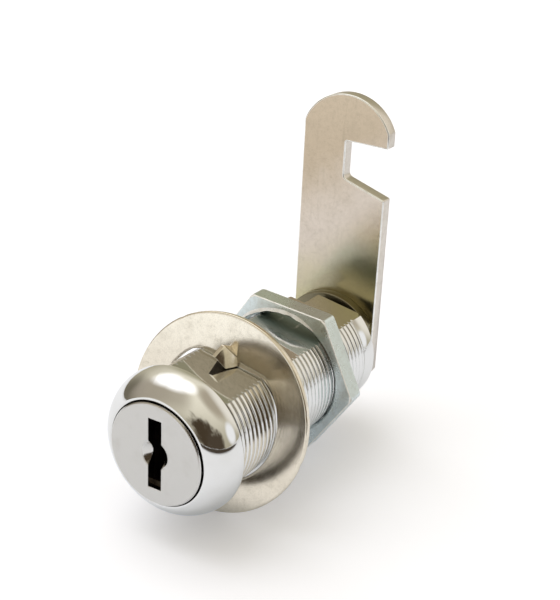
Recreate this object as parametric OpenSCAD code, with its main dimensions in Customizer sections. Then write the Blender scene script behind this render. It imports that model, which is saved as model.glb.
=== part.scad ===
// Cam lock for a cupboard door, drawer or steel locker.
// The lock's axis runs along Y: the head faces -Y and the cam is at +Y, behind the door.
// +Z is the way the cam points at rest, and the origin lies on the axis, where the back
// of the head sits on the door's front face. All sizes are in millimetres.

/* [Head] */
// Diameter of the domed head
head_d = 21.8; // [21:0.2:26]
// Depth of the head, from its front rim to the face that sits on the door
head_depth = 5.2; // [4.8:0.1:8]
// Radius of the rounded rear edge of the head
head_edge_r = 0.4; // [0.2:0.1:0.8]
// Width of the rim between the plug's gap and the dome
head_rim_w = 0.25; // [0.1:0.05:0.4]

/* [Barrel] */
// Diameter over the thread
barrel_d = 19; // [18.6:0.2:20.6]
// Length of the barrel behind the head
barrel_l = 38.3; // [36:0.1:50]
// Distance across the two flats of the barrel
flats_w = 15.6; // [15.2:0.1:16.6]
// Lean of the flats from the key slot, clockwise seen from the front
flat_roll = 9; // [-12:1:12]
// Distance between two threads
thread_pitch = 1; // [0.75:0.25:1.5]
// Depth of the thread
thread_depth = 0.5; // [0.3:0.05:0.6]
// Length of the plain neck between the head and the first thread
neck_l = 0.4; // [0.2:0.1:2]
// Length of the smooth collar behind the thread
collar_l = 2.9; // [2:0.1:6]

/* [Plug] */
// Diameter of the turning plug
plug_d = 12; // [11.8:0.1:12.4]
// Diameter of the plug's head, which shows inside the lock's head
plug_head_d = 15.2; // [14.4:0.1:15.6]
// Length of the plug's head behind the face cap
plug_head_l = 2.65; // [1.6:0.05:3]
// Radial running clearance of the plug in its bore
bore_fit = 0.05; // [0.02:0.01:0.1]
// Radial gap around the plug's head
face_gap = 0.2; // [0.1:0.05:0.3]
// Height of the keyway inside the plug
keyway_h = 9.8; // [8.8:0.2:10.4]
// Width of the keyway and of the slot in the face cap
keyway_w = 2.2; // [1.8:0.1:2.3]
// Length of the plug that stands out behind the barrel
plug_tail_gap = 0.95; // [0.3:0.05:2]
// Width of the square that carries the stop plate and the cam
tail_w = 6; // [5.6:0.1:6.8]
// Diameter of the threaded stud behind the square
stud_d = 5; // [4:0.5:5]
// Length of the stud that stands out behind its nut
stud_spare = 1.2; // [0.6:0.1:4]

/* [Face cap] */
// Thickness of the cap on the plug's face
cap_t = 1.4; // [1.2:0.1:1.8]
// How far the cap stands out in front of the head's rim
cap_proud = 0.45; // [0:0.05:0.8]
// Height of the key slot in the cap
slot_h = 10.6; // [10:0.1:11.4]
// Diameter of the round dish in the middle of the slot
eye_d = 4.4; // [3.4:0.1:5]
// Depth of the dish, whose sides slope at 45 degrees
eye_depth = 1.1; // [0.6:0.1:1.2]
// Bevel around the front edge of the cap
cap_bevel = 0.3; // [0.1:0.05:0.5]

/* [Wafers] */
// Thickness of a wafer
wafer_t = 1.2; // [0.8:0.1:1.6]
// Width of a wafer
wafer_w = 4.4; // [4:0.1:4.8]
// Distance from one wafer to the next
wafer_pitch = 3.2; // [2.6:0.1:3.6]
// Distance of the first wafer behind the door's front face
wafer_first_y = 1.5; // [0.5:0.1:4]
// Travel of a wafer out of the plug
wafer_travel = 0.7; // [0.3:0.05:0.8]
// Clearance of a wafer in its slot, on each side
wafer_fit = 0.05; // [0.03:0.01:0.1]
// Wire diameter of a wafer's spring
spring_wire_d = 0.22; // [0.16:0.02:0.26]
// Turns of a wafer's spring
spring_turns = 6; // [3:1:7]

/* [Stop plate] */
// Thickness of the stop plate
stop_t = 1.6; // [1:0.1:2.4]
// Turn of the plug between its two stops
stop_turn = 90; // [60:5:100]
// Reach of the stop tab into the barrel's rear cut-out
stop_reach = 3.6; // [2:0.1:5]
// Diameter of the stop plate
stop_d = 16.7; // [16:0.1:18]
// Width of the stop plate across its two straight sides
stop_w = 14; // [13:0.1:16]

/* [Cam] */
// Thickness of the cam
cam_t = 2.1; // [1.5:0.1:3]
// Width of the cam
cam_w = 14.8; // [13:0.1:18]
// Distance from the lock's axis to the tip of the cam
cam_reach = 40.5; // [36:0.5:60]
// Radius of the rounded tip
cam_tip_r = 8; // [7.6:0.1:12]
// Radius of the rounded lower end, about the axis
cam_foot_r = 8.4; // [8:0.1:12]
// Distance from the tip down to the underside of the hook
hook_h = 7.2; // [6:0.1:9]
// Height of the hook's notch at its inner wall
notch_h = 5.9; // [4.6:0.1:8]
// Depth of the notch from the side of the cam
notch_depth = 7.3; // [5:0.1:9]
// Slope of the notch's lower edge, down towards its mouth, in degrees
notch_slope = 17; // [0:1:25]

/* [Fasteners] */
// Distance across the flats of the mounting nut
nut_af = 22.2; // [21.8:0.1:26]
// Thickness of the mounting nut
nut_t = 3; // [2:0.1:5]
// Place of the mounting nut's front face behind the door's front face
nut_y = 25.2; // [20:0.1:26]
// Turn of the mounting nut, clockwise seen from the front
nut_turn = 4; // [0:1:60]
// Radial clearance of the mounting nut over the thread
nut_fit = 0.08; // [0.05:0.01:0.12]
// Diameter of the panel washer
washer_d = 29.4; // [27:0.1:34]
// Thickness of the panel washer
washer_t = 0.9; // [0.6:0.1:1.5]
// Place of the panel washer's middle behind the door's front face
washer_y = 8.6; // [7:0.1:12]
// Lean of the loose panel washer, top back, in degrees
washer_lean = 11.5; // [0:0.5:12]
// Slack of the panel washer's hole around the barrel
washer_slack = 0.5; // [0.45:0.05:0.8]
// Height of the spur that stands on the panel washer, over the flat
spur_h = 3; // [2.4:0.1:3.5]
// Reach of the spur's toe in front of the panel washer
spur_reach = 2; // [1:0.1:3]
// Width of the spur where it leaves the panel washer
spur_w = 3.7; // [3:0.1:5]
// Distance across the flats of the cam nut
cam_nut_af = 8; // [7:0.5:10]
// Thickness of the cam nut
cam_nut_t = 3.2; // [2.4:0.1:5]
// Thickness of the spring washer under the cam nut
spring_washer_t = 1.2; // [0.8:0.1:2]

/* [Hidden] */
$fn = 96;
wafer_count = 6;
// Overshoot of a cutting shape past the face that it cuts
cut = 1;

// Head and barrel
head_r = head_d / 2;
front_y = -head_depth;
plug_head_r = plug_head_d / 2;
counterbore_r = plug_head_r + face_gap;
dome_l = head_depth - head_edge_r;
dome_rise = head_r - counterbore_r - head_rim_w;
dome_r = (dome_rise * dome_rise + dome_l * dome_l) / (2 * dome_rise);
barrel_r = barrel_d / 2;
root_r = barrel_r - thread_depth;
flat_z = flats_w / 2;
// Share of the pitch that a thread's flat crest takes
crest_share = 0.14;
crest_w = crest_share * thread_pitch;
flank_w = (thread_pitch - 2 * crest_w) / 2;
// The neck is as wide as the thread, so that a door's hole passes over both
thread_y = neck_l + flank_w;
thread_l = barrel_l - collar_l - thread_y;
thread_count = floor(thread_l / thread_pitch);
collar_chamfer = 0.4;

// Plug and its square tail
plug_r = plug_d / 2;
bore_r = plug_r + bore_fit;
// End float of the plug in the housing
end_float = 0.05;
cap_y = front_y - cap_proud;
cap_back_y = cap_y + cap_t;
shoulder_y = cap_back_y + plug_head_l;
stop_y = barrel_l + plug_tail_gap;
cam_y = stop_y + stop_t;
spring_washer_y = cam_y + cam_t;
cam_nut_y = spring_washer_y + spring_washer_t;
stud_end_y = cam_nut_y + cam_nut_t + stud_spare;
stud_r = stud_d / 2;
stud_chamfer = 0.5;
// The square ends a little short of the cam's back, so that the nut clamps the cam
tail_short = 0.2;
// Clearance of a loose fit on the square and on the stud
tail_fit = 0.05;

// Wafers and springs
wafer_r = plug_r - bore_fit;
wafer_slot_t = wafer_t + 2 * wafer_fit;
wafer_half = wafer_w / 2;
// Room beside the key in a wafer's window
window_room = 0.15;
// How far the ends of a wafer's window stand into the keyway
window_bar = 0.6;
window_w = keyway_w + 2 * window_room;
window_h = keyway_h - 2 * window_bar;
ear_w = 1.3;
ear_h = 1;
ear_z = 2.6;
ledge_z = -ear_z;
// Gap at each end of a spring, and between a spring and its pocket's sides
spring_seat = 0.03;
spring_room = 0.1;
spring_l = ear_z - ledge_z - 2 * spring_seat - spring_wire_d;
spring_r = (ear_w - spring_wire_d) / 2 - spring_room;
spring_x = wafer_half + ear_w / 2;
// Room past the end and beside a wafer that has slid out into its groove
groove_room = 0.1;
groove_side = 0.25;
groove_r = wafer_r + wafer_travel + groove_room;
groove_half = wafer_half + groove_side;
last_wafer_y = wafer_first_y + (wafer_count - 1) * wafer_pitch;
groove_end = 0.6;
keyway_spare = 2.4;
keyway_end_y = last_wafer_y + wafer_t + keyway_spare;

// Stop plate and the cut-out that its tab runs in
// Gaps of the tab in its cut-out: to the bore and to the bottom
tab_gap = 0.25;
tab_end_gap = 0.6;
stop_r = stop_d / 2;
tab_in_r = bore_r + tab_gap;
tab_angle = 20;
// Angles go from +X towards +Z; the tab starts low on the left and turns upwards
tab_rest_angle = 202;
stop_slack_angle = 1.5;
cutout_depth = stop_reach + tab_end_gap;

// Mounting nut and panel washer
nut_bore_r = barrel_r + nut_fit;
nut_chamfer = 0.15;
cam_nut_chamfer = 0.35;
washer_r = washer_d / 2;
// The round sides of the washer's hole fit this much closer than its flat sides
washer_round_less = 0.1;
washer_hole_r = barrel_r + washer_slack - washer_round_less;
washer_flat_z = flat_z + washer_slack;
washer_lift = 0.15;
spur_gap = 0.12;
// Middle of the spur's root, and the places of its toe, nose and top across the flat
spur_x = -0.55;
spur_toe_x = 0.35;
spur_nose_x = -1.35;
spur_top_x = -0.85;
// The nose stands this much above and in front of the toe, and the top this much behind it
spur_nose_h = 1.35;
spur_nose_lead = 0.6;
spur_top_lag = 0.7;
// Width of the facet from the top down to the nose
spur_facet_w = 0.6;
// Heights at which the spur's back and its right shoulder leave the washer
spur_back_h = 2.1;
spur_shoulder_h = 0.8;
spur_shoulder_in = 0.4;
// How far the spring washer stands out past the nut's flats
spring_washer_lip = 0.1;
spring_washer_r = cam_nut_af / 2 + spring_washer_lip;
spring_washer_split = 0.7;

chrome = [0.84, 0.85, 0.86];
satin = [0.78, 0.77, 0.75];
zinc = [0.66, 0.71, 0.70];
nickel = [0.70, 0.66, 0.56];
brass = [0.80, 0.66, 0.36];
steel = [0.60, 0.60, 0.58];

// A turned shape: the children's first coordinate is the radius and the second is Y
module turned() {
    rotate([-90, 0, 0]) rotate_extrude() children();
}

// A round bar on the axis from y0 to y1
module bar(r, y0, y1) {
    translate([0, y0, 0]) rotate([-90, 0, 0]) cylinder(r = r, h = y1 - y0);
}

// A plate from y back to y + t, with its outline drawn in X and Z
module plate(y, t) {
    translate([0, y + t, 0]) rotate([90, 0, 0]) linear_extrude(t) children();
}

// A hexagon nut with its corners turned down on both faces
module hex_nut(af, t, bore_r, chamfer) {
    corner_r = af / sqrt(3);
    difference() {
        intersection() {
            plate(0, t) circle(r = corner_r, $fn = 6);
            turned() polygon([
                [0, 0], [corner_r - 2 * chamfer, 0], [corner_r, chamfer],
                [corner_r, t - chamfer], [corner_r - 2 * chamfer, t], [0, t]
            ]);
        }
        bar(bore_r, -cut, t + cut);
    }
}

// Outline of the domed head, with a rounded rear edge
module head_profile() {
    intersection() {
        translate([head_r - dome_r, -head_edge_r]) circle(r = dome_r);
        translate([0, front_y]) square([head_r, dome_l]);
    }
    translate([0, -head_edge_r]) square([head_r - head_edge_r, head_edge_r]);
    translate([head_r - head_edge_r, -head_edge_r]) circle(r = head_edge_r);
}

// Outline of the barrel with its neck, ring threads and chamfered collar
module barrel_profile() {
    polygon(concat(
        [[0, -head_edge_r], [barrel_r, -head_edge_r], [barrel_r, neck_l]],
        [for (i = [0:thread_count - 1], p = [0:3])
            let (y = thread_y + i * thread_pitch)
            p == 0 ? [root_r, y] :
            p == 1 ? [barrel_r, y + flank_w] :
            p == 2 ? [barrel_r, y + flank_w + crest_w] :
            [root_r, y + 2 * flank_w + crest_w]],
        [[root_r, barrel_l - collar_l],
         [barrel_r, barrel_l - collar_l + flank_w],
         [barrel_r, barrel_l - collar_chamfer],
         [barrel_r - collar_chamfer, barrel_l],
         [0, barrel_l]]
    ));
}

// What is cut away from the barrel to leave its two flats
module flat_cuts() {
    for (side = [0, 180])
        rotate([0, flat_roll + side, 0])
            translate([-head_d, 0, flat_z]) cube([2 * head_d, barrel_l + cut, head_d]);
}

// Grooves that take the wafers at both ends of the plug's turn
module wafer_grooves() {
    for (turn = [0, 90])
        rotate([0, turn, 0])
            translate([-groove_half, wafer_first_y - groove_end, -groove_r])
                cube([
                    2 * groove_half,
                    last_wafer_y - wafer_first_y + wafer_t + 2 * groove_end,
                    2 * groove_r
                ]);
}

// Cut-out in the barrel's rear rim for the stop tab
module stop_cutout() {
    span = stop_turn + tab_angle + 2 * stop_slack_angle;
    start = -(tab_rest_angle + tab_angle / 2 + stop_slack_angle);
    translate([0, barrel_l - cutout_depth, 0])
        rotate([-90, 0, 0])
            rotate([0, 0, start])
                rotate_extrude(angle = span)
                    translate([plug_r / 2, 0]) square([barrel_r, cutout_depth + cut]);
}

module housing() {
    color(chrome) difference() {
        union() {
            turned() head_profile();
            difference() {
                turned() barrel_profile();
                flat_cuts();
            }
        }
        bar(counterbore_r, front_y - cut, shoulder_y + end_float);
        bar(bore_r, front_y - cut, barrel_l + cut);
        wafer_grooves();
        stop_cutout();
    }
}

// Angle at which wafer i lies: every second one works downwards
function wafer_flip(i) = i % 2 == 0 ? 180 : 0;

module at_wafer(i) {
    translate([0, wafer_first_y + (i - 1) * wafer_pitch, 0])
        rotate([0, wafer_flip(i), 0]) children();
}

// Slot through the plug for one wafer, with the pocket of its spring beside it
module wafer_slot() {
    translate([-wafer_half - wafer_fit, -wafer_fit, -plug_d])
        cube([wafer_w + 2 * wafer_fit, wafer_slot_t, 2 * plug_d]);
    translate([0, -wafer_fit, ledge_z])
        cube([wafer_half + ear_w + 2 * wafer_fit, wafer_slot_t, plug_d]);
}

module plug() {
    color(brass) difference() {
        union() {
            bar(plug_head_r, cap_back_y, shoulder_y);
            bar(plug_r, shoulder_y - cut, stop_y);
            plate(stop_y - cut, cut + stop_t + cam_t - tail_short) square(tail_w, center = true);
            turned() polygon([
                [0, stop_y], [stud_r, stop_y], [stud_r, stud_end_y - stud_chamfer],
                [stud_r - stud_chamfer, stud_end_y], [0, stud_end_y]
            ]);
        }
        translate([-keyway_w / 2, cap_y, -keyway_h / 2])
            cube([keyway_w, keyway_end_y - cap_y, keyway_h]);
        for (i = [1:wafer_count]) at_wafer(i) wafer_slot();
    }
}

module face_cap() {
    color(satin) difference() {
        turned() polygon([
            [0, cap_y], [plug_head_r - cap_bevel, cap_y],
            [plug_head_r, cap_y + cap_bevel], [plug_head_r, cap_back_y], [0, cap_back_y]
        ]);
        translate([-keyway_w / 2, cap_y - cut, -slot_h / 2])
            cube([keyway_w, cap_t + 2 * cut, slot_h]);
        turned() polygon([
            [0, cap_y - cut], [eye_d / 2 + cut, cap_y - cut],
            [eye_d / 2 - eye_depth, cap_y + eye_depth], [0, cap_y + eye_depth]
        ]);
    }
}

// One wafer: a plate with round ends, a window for the key and an ear for its spring
module wafer(i) {
    color(brass) at_wafer(i) plate(0, wafer_t) difference() {
        union() {
            intersection() {
                circle(r = wafer_r);
                square([wafer_w, plug_d], center = true);
            }
            translate([0, ear_z]) square([wafer_half + ear_w, ear_h]);
        }
        square([window_w, window_h], center = true);
    }
}

// Points of a coil spring: rings of points around a helix along Z
wire_sides = 6;
rings_per_turn = 8;
spring_rings = spring_turns * rings_per_turn;
function helix(k) =
    let (a = k * 360 / rings_per_turn)
    [spring_r * cos(a), spring_r * sin(a), k * spring_l / spring_rings];
function helix_ring(k) =
    let (
        a = k * 360 / rings_per_turn,
        out = [cos(a), sin(a), 0],
        rise = spring_l / spring_turns / 2 / PI / spring_r,
        up = [rise * sin(a), -rise * cos(a), 1] / norm([rise, 1])
    )
    [for (s = [0:wire_sides - 1])
        let (b = s * 360 / wire_sides)
        helix(k) + spring_wire_d / 2 * (cos(b) * out + sin(b) * up)];
spring_points = [for (k = [0:spring_rings]) each helix_ring(k)];
spring_sides = [for (k = [0:spring_rings - 1], s = [0:wire_sides - 1], half = [0, 1])
    let (a = k * wire_sides + s, b = k * wire_sides + (s + 1) % wire_sides)
    half == 0 ? [a, a + wire_sides, b] : [b, a + wire_sides, b + wire_sides]];
spring_last = spring_rings * wire_sides;
spring_ends = [for (s = [1:wire_sides - 2], end = [0, 1])
    end == 0 ? [0, s, s + 1] : [spring_last, spring_last + s + 1, spring_last + s]];
// Least gap between two turns, measured on helix points more than half a turn apart
spring_gap = min([for (k = [0:spring_rings], j = [k + rings_per_turn / 2 + 1:1:spring_rings])
    norm(helix(k) - helix(j))]) - spring_wire_d;
echo(spring_gap = spring_gap);

module wafer_spring(i) {
    color(steel) at_wafer(i)
        translate([spring_x, wafer_t / 2, ledge_z + spring_seat + spring_wire_d / 2])
            polyhedron(points = spring_points, faces = concat(spring_sides, spring_ends));
}

module stop_plate() {
    color(steel) difference() {
        union() {
            plate(stop_y, stop_t) intersection() {
                circle(r = stop_r);
                square([stop_w, stop_d], center = true);
            }
            rotate([0, -tab_rest_angle, 0])
                intersection() {
                    bar(stop_r, barrel_l - stop_reach, cam_y);
                    tab_wedge();
                    difference() {
                        bar(stop_r + cut, barrel_l - stop_reach, cam_y);
                        bar(tab_in_r, barrel_l - stop_reach - cut, stop_y);
                    }
                }
        }
        plate(stop_y - cut, stop_t + 2 * cut) square(tail_w + 2 * tail_fit, center = true);
    }
}

// Wedge about +X that gives the stop tab its angle
module tab_wedge() {
    reach = 2 * stop_r;
    rise = reach * tan(tab_angle / 2);
    plate(barrel_l - stop_reach, cam_y - barrel_l + stop_reach)
        polygon([[0, 0], [reach, -rise], [reach, rise]]);
}

// Outline of the cam: a rounded hook at the top and a round foot about the axis
module cam_outline() {
    half = cam_w / 2;
    notch_top = cam_reach - hook_h;
    notch_bottom = notch_top - notch_h;
    mouth_drop = (notch_depth + cut) * tan(notch_slope);
    difference() {
        intersection() {
            union() {
                translate([0, cam_reach - cam_tip_r]) circle(r = cam_tip_r);
                translate([-half, 0]) square([cam_w, cam_reach - cam_tip_r]);
                circle(r = cam_foot_r);
            }
            translate([-half, -cam_foot_r]) square([cam_w, cam_reach + cam_foot_r]);
        }
        polygon([
            [half - notch_depth, notch_top], [half - notch_depth, notch_bottom],
            [half + cut, notch_bottom - mouth_drop], [half + cut, notch_top]
        ]);
        square(tail_w + 2 * tail_fit, center = true);
    }
}

module cam() {
    color(nickel) plate(cam_y, cam_t) cam_outline();
}

module spring_washer() {
    color(steel) difference() {
        bar(spring_washer_r, spring_washer_y, cam_nut_y);
        bar(stud_r + tail_fit, spring_washer_y - cut, cam_nut_y + cut);
        translate([0, spring_washer_y - cut, -spring_washer_split / 2])
            cube([spring_washer_r + cut, spring_washer_t + 2 * cut, spring_washer_split]);
    }
}

module cam_nut() {
    color(zinc) translate([0, cam_nut_y, 0])
        hex_nut(cam_nut_af, cam_nut_t, stud_r + tail_fit, cam_nut_chamfer);
}

module mounting_nut() {
    color(zinc) translate([0, nut_y, 0]) rotate([0, nut_turn, 0])
        hex_nut(nut_af, nut_t, nut_bore_r, nut_chamfer);
}

// Toothed spur in front of the panel washer, standing over the barrel's flat: a face that
// looks forwards to the right, a side that falls away to the washer, and a facet on top
module spur() {
    base_z = flat_z + spur_gap;
    top_z = base_z + spur_h;
    nose_z = base_z + spur_nose_h;
    toe_y = base_z * tan(washer_lean) - spur_reach;
    nose_y = toe_y - spur_nose_lead;
    top_y = toe_y + spur_top_lag;
    left_x = spur_x - spur_w / 2;
    right_x = spur_x + spur_w / 2;
    polyhedron(
        points = [
            spur_root(left_x, base_z), spur_root(right_x, base_z),
            [spur_toe_x, toe_y, base_z],
            [spur_nose_x, nose_y, nose_z], [spur_nose_x - spur_facet_w, nose_y, nose_z],
            [spur_top_x, top_y, top_z], [spur_top_x - spur_facet_w, top_y, top_z],
            spur_root(spur_top_x, base_z + spur_back_h),
            spur_root(right_x - spur_shoulder_in, base_z + spur_shoulder_h)
        ],
        faces = [
            [0, 1, 8], [0, 8, 7], [1, 2, 8], [8, 2, 5], [8, 5, 7], [2, 3, 5],
            [5, 3, 4], [5, 4, 6], [5, 6, 7], [6, 4, 0], [6, 0, 7], [0, 4, 3], [0, 3, 2], [0, 2, 1]
        ]
    );
}

// A point of the spur's root, halfway into the leaning washer
function spur_root(x, z) = [x, z * tan(washer_lean) + washer_t / 2, z];

module panel_washer() {
    color(nickel) translate([0, washer_y, 0]) rotate([0, flat_roll, 0]) {
        translate([0, 0, washer_lift]) rotate([-washer_lean, 0, 0]) difference() {
            bar(washer_r, 0, washer_t);
            plate(-cut, washer_t + 2 * cut) intersection() {
                circle(r = washer_hole_r);
                square([washer_d, 2 * washer_flat_z], center = true);
            }
        }
        spur();
    }
}

housing();
plug();
face_cap();
for (i = [1:wafer_count]) {
    wafer(i);
    wafer_spring(i);
}
stop_plate();
cam();
spring_washer();
cam_nut();
mounting_nut();
panel_washer();
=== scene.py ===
import math
from typing import NamedTuple

import bmesh
import bpy
import numpy as np
from bpy.props import FloatProperty, FloatVectorProperty, PointerProperty
from mathutils import Matrix, Vector


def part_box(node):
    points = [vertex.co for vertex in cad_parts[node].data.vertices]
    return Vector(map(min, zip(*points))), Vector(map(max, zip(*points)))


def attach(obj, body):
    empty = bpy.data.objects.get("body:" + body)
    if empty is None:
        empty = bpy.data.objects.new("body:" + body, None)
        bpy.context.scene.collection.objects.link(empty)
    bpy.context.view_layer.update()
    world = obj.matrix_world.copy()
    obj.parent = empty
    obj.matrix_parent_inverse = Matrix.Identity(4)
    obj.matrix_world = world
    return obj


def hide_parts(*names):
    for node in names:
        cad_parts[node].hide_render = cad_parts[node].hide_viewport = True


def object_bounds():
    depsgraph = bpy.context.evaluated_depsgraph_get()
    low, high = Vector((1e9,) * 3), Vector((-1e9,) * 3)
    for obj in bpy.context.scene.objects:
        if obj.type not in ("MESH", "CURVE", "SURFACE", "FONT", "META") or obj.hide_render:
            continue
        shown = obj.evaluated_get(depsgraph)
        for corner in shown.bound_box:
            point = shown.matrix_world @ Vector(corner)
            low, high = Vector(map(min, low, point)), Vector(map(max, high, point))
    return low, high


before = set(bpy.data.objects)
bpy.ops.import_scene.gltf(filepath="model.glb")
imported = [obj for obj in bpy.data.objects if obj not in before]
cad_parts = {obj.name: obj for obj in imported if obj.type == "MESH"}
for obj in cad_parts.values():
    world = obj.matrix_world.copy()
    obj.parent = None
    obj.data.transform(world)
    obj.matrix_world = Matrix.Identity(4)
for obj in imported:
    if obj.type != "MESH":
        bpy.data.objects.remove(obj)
CAD_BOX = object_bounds()

bl_info = {
    "name": "Cam lock",
    "version": (1, 0, 0),
    "blender": (4, 5, 0),
    "location": "3D View > Sidebar > Cam lock",
    "description": "Builds the finished surfaces of a cam lock around its solids",
    "category": "Add Mesh",
}

X, Y, Z = 0, 1, 2
MM = 0.001
TURN = 2 * math.pi
QUARTER = math.pi / 2
WHITE = (1.0, 1.0, 1.0)
# Points closer than this are one point
MERGE = 1e-7
# Keeps a division away from zero
TINY = 1e-6
# Rings across one turn of a nut's or the stud's thread
THREAD_ROWS = 12
# How far the stud's sleeve stands off its core, and how far inside the cam nut it starts
SLEEVE_OFF = 0.02 * MM
SLEEVE_IN = 0.4 * MM
SENSOR_WIDTH = 36.0
FINISH_MARK = "_finish"


def low(node, axis):
    """Lowest place of a solid along one axis."""
    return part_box(node)[0][axis]


def high(node, axis):
    """Highest place of a solid along one axis."""
    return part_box(node)[1][axis]


def span(node):
    """Front and back of a solid."""
    return low(node, Y), high(node, Y)


def length(name, description, metres):
    """A size in metres."""
    return FloatProperty(
        name=name, description=description, default=metres, unit="LENGTH", precision=5
    )


def mm(name, description, millimetres):
    """A size in metres, given in millimetres."""
    return length(name, description, millimetres * MM)


def angle(name, description, degrees):
    """An angle, given in degrees and held in radians."""
    return FloatProperty(
        name=name, description=description, default=math.radians(degrees), subtype="ANGLE"
    )


def share(name, description, default):
    """A plain number."""
    return FloatProperty(name=name, description=description, default=default, precision=3)


def colour(name, description, default):
    """A linear colour."""
    return FloatVectorProperty(
        name=name, description=description, default=default, subtype="COLOR", min=0, max=1
    )


class HousingSizes(bpy.types.PropertyGroup):
    """Sizes of the domed head and the threaded barrel."""

    head_r: length("Head radius", "Radius of the domed head", high("housing", X))
    front_y: length("Front", "Place of the head's front rim", low("housing", Y))
    rear_y: length("Rear", "Place of the barrel's rear face", high("housing", Y))
    edge_r: mm("Rear edge", "Radius of the head's rounded rear edge", 0.4)
    rim_w: mm("Rim", "Width of the rim between the plug's gap and the dome", 0.25)
    rim_edge: mm("Rim edge", "Rounding of the rim's inner edge", 0.05)
    gap: mm("Gap", "Gap around the plug's head", 0.2)
    shoulder_y: mm("Shoulder", "Place of the shoulder behind the plug's head", -1.55)
    barrel_r: mm("Barrel radius", "Radius over the thread", 9.5)
    thread_depth: mm("Thread depth", "Depth of the thread", 0.25)
    pitch: mm("Pitch", "Distance between two threads", 1.0)
    neck_l: mm("Neck", "Length of the plain neck behind the head", 0.4)
    thread_y: mm("Thread start", "Place where the thread starts", 0.76)
    collar_l: mm("Collar", "Length of the smooth collar behind the thread", 2.9)
    collar_ramp: mm("Collar ramp", "Length of the slope up to the collar", 0.36)
    chamfer: mm("Chamfer", "Chamfer at the barrel's rear end", 0.4)
    flat_z: mm("Flats", "Distance of each flat from the axis", 7.8)
    flat_roll: angle("Roll of the flats", "Lean of the flats, clockwise from the front", 9)
    bore_r: mm("Bore", "Radius of the bore for the plug", 6.05)
    groove_half: mm("Groove", "Half the width of the wafers' grooves", 2.45)
    groove_r: mm("Groove depth", "Distance of the grooves' bottoms from the axis", 6.75)
    groove_y0: mm("Groove start", "Front end of the wafers' grooves", 0.9)
    groove_y1: mm("Groove end", "Rear end of the wafers' grooves", 19.3)
    cutout_a0: angle("Cut-out start", "Angle where the stop's cut-out starts", 100.5)
    cutout_a1: angle("Cut-out end", "Angle where the stop's cut-out ends", 213.5)
    cutout_depth: mm("Cut-out depth", "Depth of the stop's cut-out in the rear rim", 4.2)


class FaceSizes(bpy.types.PropertyGroup):
    """Sizes of the face cap and of the stud's end."""

    radius: length("Cap radius", "Radius of the face cap", high("face_cap", X))
    front_y: length("Cap front", "Place of the cap's face", low("face_cap", Y))
    back_y: length("Cap back", "Place of the cap's back", high("face_cap", Y))
    bevel: mm("Cap bevel", "Bevel around the cap's face", 0.14)
    slot_w: mm("Slot width", "Width of the key slot", 2.2)
    slot_h: mm("Slot height", "Height of the key slot", 10.6)
    slot_edge: mm("Slot edge", "Rounding of the slot's edge", 0.1)
    eye_d: mm("Eye", "Diameter of the round dish in the slot", 4.4)
    eye_depth: mm("Eye depth", "Depth of the dish, with sides at 45 degrees", 1.1)
    stud_r: mm("Stud radius", "Radius of the cam's threaded stud", 2.5)
    stud_end: length("Stud end", "Place of the stud's rear end", high("plug", Y))
    stud_chamfer: mm("Stud chamfer", "Chamfer at the stud's end", 0.5)
    stud_pitch: mm("Stud pitch", "Distance between the stud's threads", 0.8)
    stud_skin: mm("Stud skin", "How far the stud's thread stands over its core", 0.18)


class CamSizes(bpy.types.PropertyGroup):
    """Sizes of the hooked cam and of the stop plate in front of it."""

    half_w: length("Half width", "Half the width of the cam", high("cam", X))
    front_y: length("Front", "Place of the cam's front face", low("cam", Y))
    back_y: length("Back", "Place of the cam's back face", high("cam", Y))
    reach: length("Reach", "Distance from the axis to the tip", high("cam", Z))
    tip_r: mm("Tip radius", "Radius of the rounded tip", 8.0)
    foot_r: length("Foot radius", "Radius of the rounded foot", -low("cam", Z))
    hook_h: mm("Hook", "Height of the hook from the tip", 7.2)
    notch_h: mm("Notch", "Height of the notch at its inner wall", 5.9)
    notch_depth: mm("Notch depth", "Depth of the notch from the cam's side", 7.3)
    notch_slope: angle("Notch slope", "Slope of the notch's lower edge", 17)
    low_round: mm("Lower inner corner", "Rounding of the notch's lower inner corner", 0.7)
    high_round: mm("Upper inner corner", "Rounding of the notch's upper inner corner", 0.3)
    outer_round: mm("Outer corners", "Rounding of the hook's outer corners", 0.25)
    roll_r: mm("Rolled edge", "Rounding of the stamped front edge", 0.2)
    burr_r: mm("Rear edge", "Rounding of the stamped rear edge", 0.08)
    hole_half: mm("Square hole", "Half the side of the square hole for the plug's tail", 3.05)
    stop_r: length("Stop radius", "Radius of the stop plate", high("stop_plate", Z))
    stop_half: mm("Stop width", "Half the width across the stop plate's straight sides", 7.0)
    stop_t: mm("Stop thickness", "Thickness of the stop plate", 1.6)
    stop_edge: mm("Stop edge", "Rounding of the stop plate's edges", 0.12)
    tab_in_r: mm("Tab inside", "Inner radius of the stop's tab", 6.3)
    tab_angle: angle("Tab angle", "Angle of the stop's tab, from +X to +Z", 202)
    tab_span: angle("Tab span", "Angle that the stop's tab takes", 20)


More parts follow.
